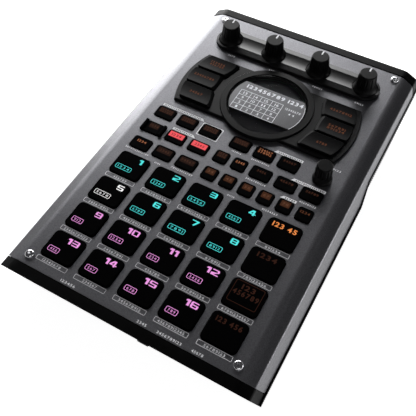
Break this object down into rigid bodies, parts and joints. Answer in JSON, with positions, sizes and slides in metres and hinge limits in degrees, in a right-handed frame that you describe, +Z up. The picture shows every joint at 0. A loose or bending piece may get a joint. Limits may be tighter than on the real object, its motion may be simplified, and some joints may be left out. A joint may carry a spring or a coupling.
{
  "type": "table-top drum machine and sampler",
  "caption": "Table-top drum machine: rubber pads and keys in a folded metal faceplate, round display between effect keys, knobs on a raised plinth, jacks front and rear.",
  "frame": {"origin": "on the table, under the middle of the machine's bounding box", "axes": "+X to the player's right, +Y to the rear, +Z up"},
  "size_m": [0.1776, 0.2758, 0.0705],
  "materials": {
    "gunmetal_plate": "satin anodised gunmetal",
    "black_case": "fine textured moulding",
    "panel_black": "fine textured moulding",
    "gloss_black": "semi-gloss moulding",
    "lens": "clear, lightly tinted",
    "screen": "glass display panel",
    "screw_chrome": "bright plated",
    "screw_black": "black oxide",
    "board_green": "solder mask",
    "connector_black": "moulded jack bodies",
    "foot_rubber": "matt",
    "pot_steel": "plated can",
    "pad_rubber": "silk matt",
    "key_rubber": "silk matt",
    "effect_key_black": "satin",
    "knob_black": "satin"
  },
  "bodies": {
    "housing": {"faceplate": "gunmetal_plate", "upper_case": "black_case", "bottom_case": "black_case", "effects_panel": "panel_black", "display_ring": "gloss_black", "display_lens": "lens", "display_module": "screen", "knob_plinth": "gloss_black", "key_guard": "key_rubber", "faceplate_screws": "screw_chrome", "panel_board": "board_green", "front_panel": "panel_black", "rear_panel": "panel_black", "front_connectors": "connector_black", "rear_connectors": "connector_black", "case_screws": "screw_black", "rubber_feet": "foot_rubber", "main_board": "board_green", "potentiometers": "pot_steel"},
    "pad_01": {"pad_01": "pad_rubber"},
    "pad_02": {"pad_02": "pad_rubber"},
    "pad_03": {"pad_03": "pad_rubber"},
    "pad_04": {"pad_04": "pad_rubber"},
    "pad_05": {"pad_05": "pad_rubber"},
    "pad_06": {"pad_06": "pad_rubber"},
    "pad_07": {"pad_07": "pad_rubber"},
    "pad_08": {"pad_08": "pad_rubber"},
    "pad_09": {"pad_09": "pad_rubber"},
    "pad_10": {"pad_10": "pad_rubber"},
    "pad_11": {"pad_11": "pad_rubber"},
    "pad_12": {"pad_12": "pad_rubber"},
    "pad_13": {"pad_13": "pad_rubber"},
    "pad_14": {"pad_14": "pad_rubber"},
    "pad_15": {"pad_15": "pad_rubber"},
    "pad_16": {"pad_16": "pad_rubber"},
    "function_pad_1": {"function_pad_1": "pad_rubber"},
    "function_pad_2": {"function_pad_2": "pad_rubber"},
    "function_pad_3": {"function_pad_3": "pad_rubber"},
    "function_pad_4": {"function_pad_4": "pad_rubber"},
    "keys_top_left": {"keys_top_left": "key_rubber"},
    "keys_top_right": {"keys_top_right": "key_rubber"},
    "keys_record": {"keys_record": "key_rubber"},
    "keys_middle_right": {"keys_middle_right": "key_rubber"},
    "keys_bottom_left": {"keys_bottom_left": "key_rubber"},
    "keys_bottom_right": {"keys_bottom_right": "key_rubber"},
    "key_guarded": {"key_guarded": "key_rubber"},
    "effect_key_left_1": {"effect_key_left_1": "effect_key_black"},
    "effect_key_left_2": {"effect_key_left_2": "effect_key_black"},
    "effect_key_left_3": {"effect_key_left_3": "effect_key_black"},
    "effect_key_right_1": {"effect_key_right_1": "effect_key_black"},
    "effect_key_right_2": {"effect_key_right_2": "effect_key_black"},
    "effect_key_right_3": {"effect_key_right_3": "effect_key_black"},
    "control_knob_1": {"control_knob_1": "knob_black"},
    "control_knob_2": {"control_knob_2": "knob_black"},
    "control_knob_3": {"control_knob_3": "knob_black"},
    "control_knob_4": {"control_knob_4": "knob_black"},
    "value_knob": {"value_knob": "knob_black"},
    "gain_knob": {"gain_knob": "knob_black"},
    "input_switch_lever": {"input_switch_lever": "knob_black"},
    "power_button": {"power_button": "knob_black"}
  },
  "joints": [
    {"name": "pad_01_press", "type": "slide", "parent": "housing", "child": "pad_01", "axis": [0, 0.0802, -0.9968], "range_m": [0, 0.0012], "stiffness_N_per_m": 500},
    {"name": "pad_02_press", "type": "slide", "parent": "housing", "child": "pad_02", "axis": [0, 0.0802, -0.9968], "range_m": [0, 0.0012], "stiffness_N_per_m": 500},
    {"name": "pad_03_press", "type": "slide", "parent": "housing", "child": "pad_03", "axis": [0, 0.0802, -0.9968], "range_m": [0, 0.0012], "stiffness_N_per_m": 500},
    {"name": "pad_04_press", "type": "slide", "parent": "housing", "child": "pad_04", "axis": [0, 0.0802, -0.9968], "range_m": [0, 0.0012], "stiffness_N_per_m": 500},
    {"name": "pad_05_press", "type": "slide", "parent": "housing", "child": "pad_05", "axis": [0, 0.0802, -0.9968], "range_m": [0, 0.0012], "stiffness_N_per_m": 500},
    {"name": "pad_06_press", "type": "slide", "parent": "housing", "child": "pad_06", "axis": [0, 0.0802, -0.9968], "range_m": [0, 0.0012], "stiffness_N_per_m": 500},
    {"name": "pad_07_press", "type": "slide", "parent": "housing", "child": "pad_07", "axis": [0, 0.0802, -0.9968], "range_m": [0, 0.0012], "stiffness_N_per_m": 500},
    {"name": "pad_08_press", "type": "slide", "parent": "housing", "child": "pad_08", "axis": [0, 0.0802, -0.9968], "range_m": [0, 0.0012], "stiffness_N_per_m": 500},
    {"name": "pad_09_press", "type": "slide", "parent": "housing", "child": "pad_09", "axis": [0, 0.0802, -0.9968], "range_m": [0, 0.0012], "stiffness_N_per_m": 500},
    {"name": "pad_10_press", "type": "slide", "parent": "housing", "child": "pad_10", "axis": [0, 0.0802, -0.9968], "range_m": [0, 0.0012], "stiffness_N_per_m": 500},
    {"name": "pad_11_press", "type": "slide", "parent": "housing", "child": "pad_11", "axis": [0, 0.0802, -0.9968], "range_m": [0, 0.0012], "stiffness_N_per_m": 500},
    {"name": "pad_12_press", "type": "slide", "parent": "housing", "child": "pad_12", "axis": [0, 0.0802, -0.9968], "range_m": [0, 0.0012], "stiffness_N_per_m": 500},
    {"name": "pad_13_press", "type": "slide", "parent": "housing", "child": "pad_13", "axis": [0, 0.0802, -0.9968], "range_m": [0, 0.0012], "stiffness_N_per_m": 500},
    {"name": "pad_14_press", "type": "slide", "parent": "housing", "child": "pad_14", "axis": [0, 0.0802, -0.9968], "range_m": [0, 0.0012], "stiffness_N_per_m": 500},
    {"name": "pad_15_press", "type": "slide", "parent": "housing", "child": "pad_15", "axis": [0, 0.0802, -0.9968], "range_m": [0, 0.0012], "stiffness_N_per_m": 500},
    {"name": "pad_16_press", "type": "slide", "parent": "housing", "child": "pad_16", "axis": [0, 0.0802, -0.9968], "range_m": [0, 0.0012], "stiffness_N_per_m": 500},
    {"name": "function_pad_1_press", "type": "slide", "parent": "housing", "child": "function_pad_1", "axis": [0, 0.0802, -0.9968], "range_m": [0, 0.0012], "stiffness_N_per_m": 500},
    {"name": "function_pad_2_press", "type": "slide", "parent": "housing", "child": "function_pad_2", "axis": [0, 0.0802, -0.9968], "range_m": [0, 0.0012], "stiffness_N_per_m": 500},
    {"name": "function_pad_3_press", "type": "slide", "parent": "housing", "child": "function_pad_3", "axis": [0, 0.0802, -0.9968], "range_m": [0, 0.0012], "stiffness_N_per_m": 500},
    {"name": "function_pad_4_press", "type": "slide", "parent": "housing", "child": "function_pad_4", "axis": [0, 0.0802, -0.9968], "range_m": [0, 0.0012], "stiffness_N_per_m": 500},
    {"name": "keys_top_left_press", "type": "slide", "parent": "housing", "child": "keys_top_left", "axis": [0, 0.0802, -0.9968], "range_m": [0, 0.0008], "stiffness_N_per_m": 400},
    {"name": "keys_top_right_press", "type": "slide", "parent": "housing", "child": "keys_top_right", "axis": [0, 0.0802, -0.9968], "range_m": [0, 0.0008], "stiffness_N_per_m": 400},
    {"name": "keys_record_press", "type": "slide", "parent": "housing", "child": "keys_record", "axis": [0, 0.0802, -0.9968], "range_m": [0, 0.0008], "stiffness_N_per_m": 400},
    {"name": "keys_middle_right_press", "type": "slide", "parent": "housing", "child": "keys_middle_right", "axis": [0, 0.0802, -0.9968], "range_m": [0, 0.0008], "stiffness_N_per_m": 400},
    {"name": "keys_bottom_left_press", "type": "slide", "parent": "housing", "child": "keys_bottom_left", "axis": [0, 0.0802, -0.9968], "range_m": [0, 0.0008], "stiffness_N_per_m": 400},
    {"name": "keys_bottom_right_press", "type": "slide", "parent": "housing", "child": "keys_bottom_right", "axis": [0, 0.0802, -0.9968], "range_m": [0, 0.0008], "stiffness_N_per_m": 400},
    {"name": "key_guarded_press", "type": "slide", "parent": "housing", "child": "key_guarded", "axis": [0, 0.0802, -0.9968], "range_m": [0, 0.0008], "stiffness_N_per_m": 400},
    {"name": "effect_key_left_1_press", "type": "slide", "parent": "housing", "child": "effect_key_left_1", "axis": [0, 0.0802, -0.9968], "range_m": [0, 0.001], "stiffness_N_per_m": 300},
    {"name": "effect_key_left_2_press", "type": "slide", "parent": "housing", "child": "effect_key_left_2", "axis": [0, 0.0802, -0.9968], "range_m": [0, 0.001], "stiffness_N_per_m": 300},
    {"name": "effect_key_left_3_press", "type": "slide", "parent": "housing", "child": "effect_key_left_3", "axis": [0, 0.0802, -0.9968], "range_m": [0, 0.001], "stiffness_N_per_m": 300},
    {"name": "effect_key_right_1_press", "type": "slide", "parent": "housing", "child": "effect_key_right_1", "axis": [0, 0.0802, -0.9968], "range_m": [0, 0.001], "stiffness_N_per_m": 300},
    {"name": "effect_key_right_2_press", "type": "slide", "parent": "housing", "child": "effect_key_right_2", "axis": [0, 0.0802, -0.9968], "range_m": [0, 0.001], "stiffness_N_per_m": 300},
    {"name": "effect_key_right_3_press", "type": "slide", "parent": "housing", "child": "effect_key_right_3", "axis": [0, 0.0802, -0.9968], "range_m": [0, 0.001], "stiffness_N_per_m": 300},
    {"name": "control_knob_1_turn", "type": "hinge", "parent": "housing", "child": "control_knob_1", "pos_m": [-0.0543, 0.09957, 0.06197], "axis": [0, -0.0802, 0.9968], "range_deg": [-150, 150]},
    {"name": "control_knob_2_turn", "type": "hinge", "parent": "housing", "child": "control_knob_2", "pos_m": [-0.0181, 0.09957, 0.06197], "axis": [0, -0.0802, 0.9968], "range_deg": [-150, 150]},
    {"name": "control_knob_3_turn", "type": "hinge", "parent": "housing", "child": "control_knob_3", "pos_m": [0.0181, 0.09957, 0.06197], "axis": [0, -0.0802, 0.9968], "range_deg": [-150, 150]},
    {"name": "control_knob_4_turn", "type": "hinge", "parent": "housing", "child": "control_knob_4", "pos_m": [0.0543, 0.09957, 0.06197], "axis": [0, -0.0802, 0.9968], "range_deg": [-150, 150]},
    {"name": "value_knob_turn", "type": "hinge", "parent": "housing", "child": "value_knob", "pos_m": [0.0596, 0.01114, 0.0538], "axis": [0, -0.0802, 0.9968], "continuous": true},
    {"name": "gain_knob_turn", "type": "hinge", "parent": "housing", "child": "gain_knob", "pos_m": [0.0124, -0.12713, 0.01466], "axis": [0, -0.9298, -0.3681], "range_deg": [-150, 150]},
    {"name": "input_switch_slide", "type": "slide", "parent": "housing", "child": "input_switch_lever", "axis": [1, 0, 0], "range_m": [0, 0.003]},
    {"name": "power_button_press", "type": "slide", "parent": "housing", "child": "power_button", "axis": [0, -1, 0], "range_m": [0, 0.0025], "stiffness_N_per_m": 400}
  ]
}
